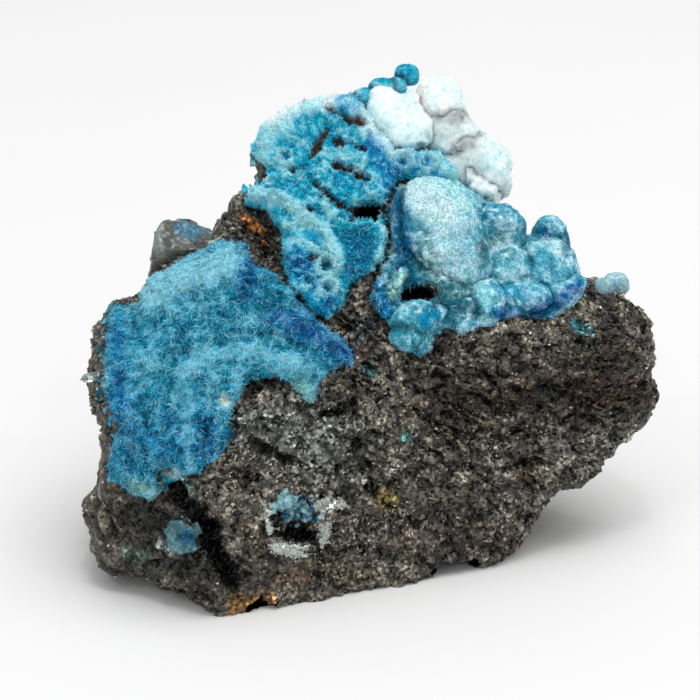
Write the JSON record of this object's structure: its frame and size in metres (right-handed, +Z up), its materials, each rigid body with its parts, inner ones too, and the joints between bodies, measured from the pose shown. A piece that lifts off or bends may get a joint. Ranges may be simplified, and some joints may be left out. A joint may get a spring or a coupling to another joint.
{
  "type": "shattuckite mineral specimen",
  "caption": "Hand specimen of dark granular matrix with fuzzy blue shattuckite crusts, pale blue botryoidal lumps and a white quartz cap, resting on its own flat foot.",
  "frame": {"origin": "on the flat foot it rests on, below the heart of the stone", "axes": "+Z up; +X to the viewer's right along the longest side; -Y towards the viewer of the picture"},
  "size_m": [0.0568, 0.0363, 0.0442],
  "materials": {
    "matrix": "granular, sparkling",
    "shattuckite": "fuzzy",
    "pale_shattuckite": "fuzzy",
    "white_quartz": "frosted",
    "grey_quartz": "glassy"
  },
  "bodies": {
    "root": {"matrix": "matrix", "blue_sheet": "shattuckite", "blue_swirl": "shattuckite", "blue_patch": "shattuckite", "pocket_crystals": "shattuckite", "pale_lumps": "pale_shattuckite", "edge_knob": "pale_shattuckite", "white_cap": "white_quartz", "glassy_shard": "grey_quartz", "edge_crystal": "grey_quartz"}
  },
  "joints": []
}
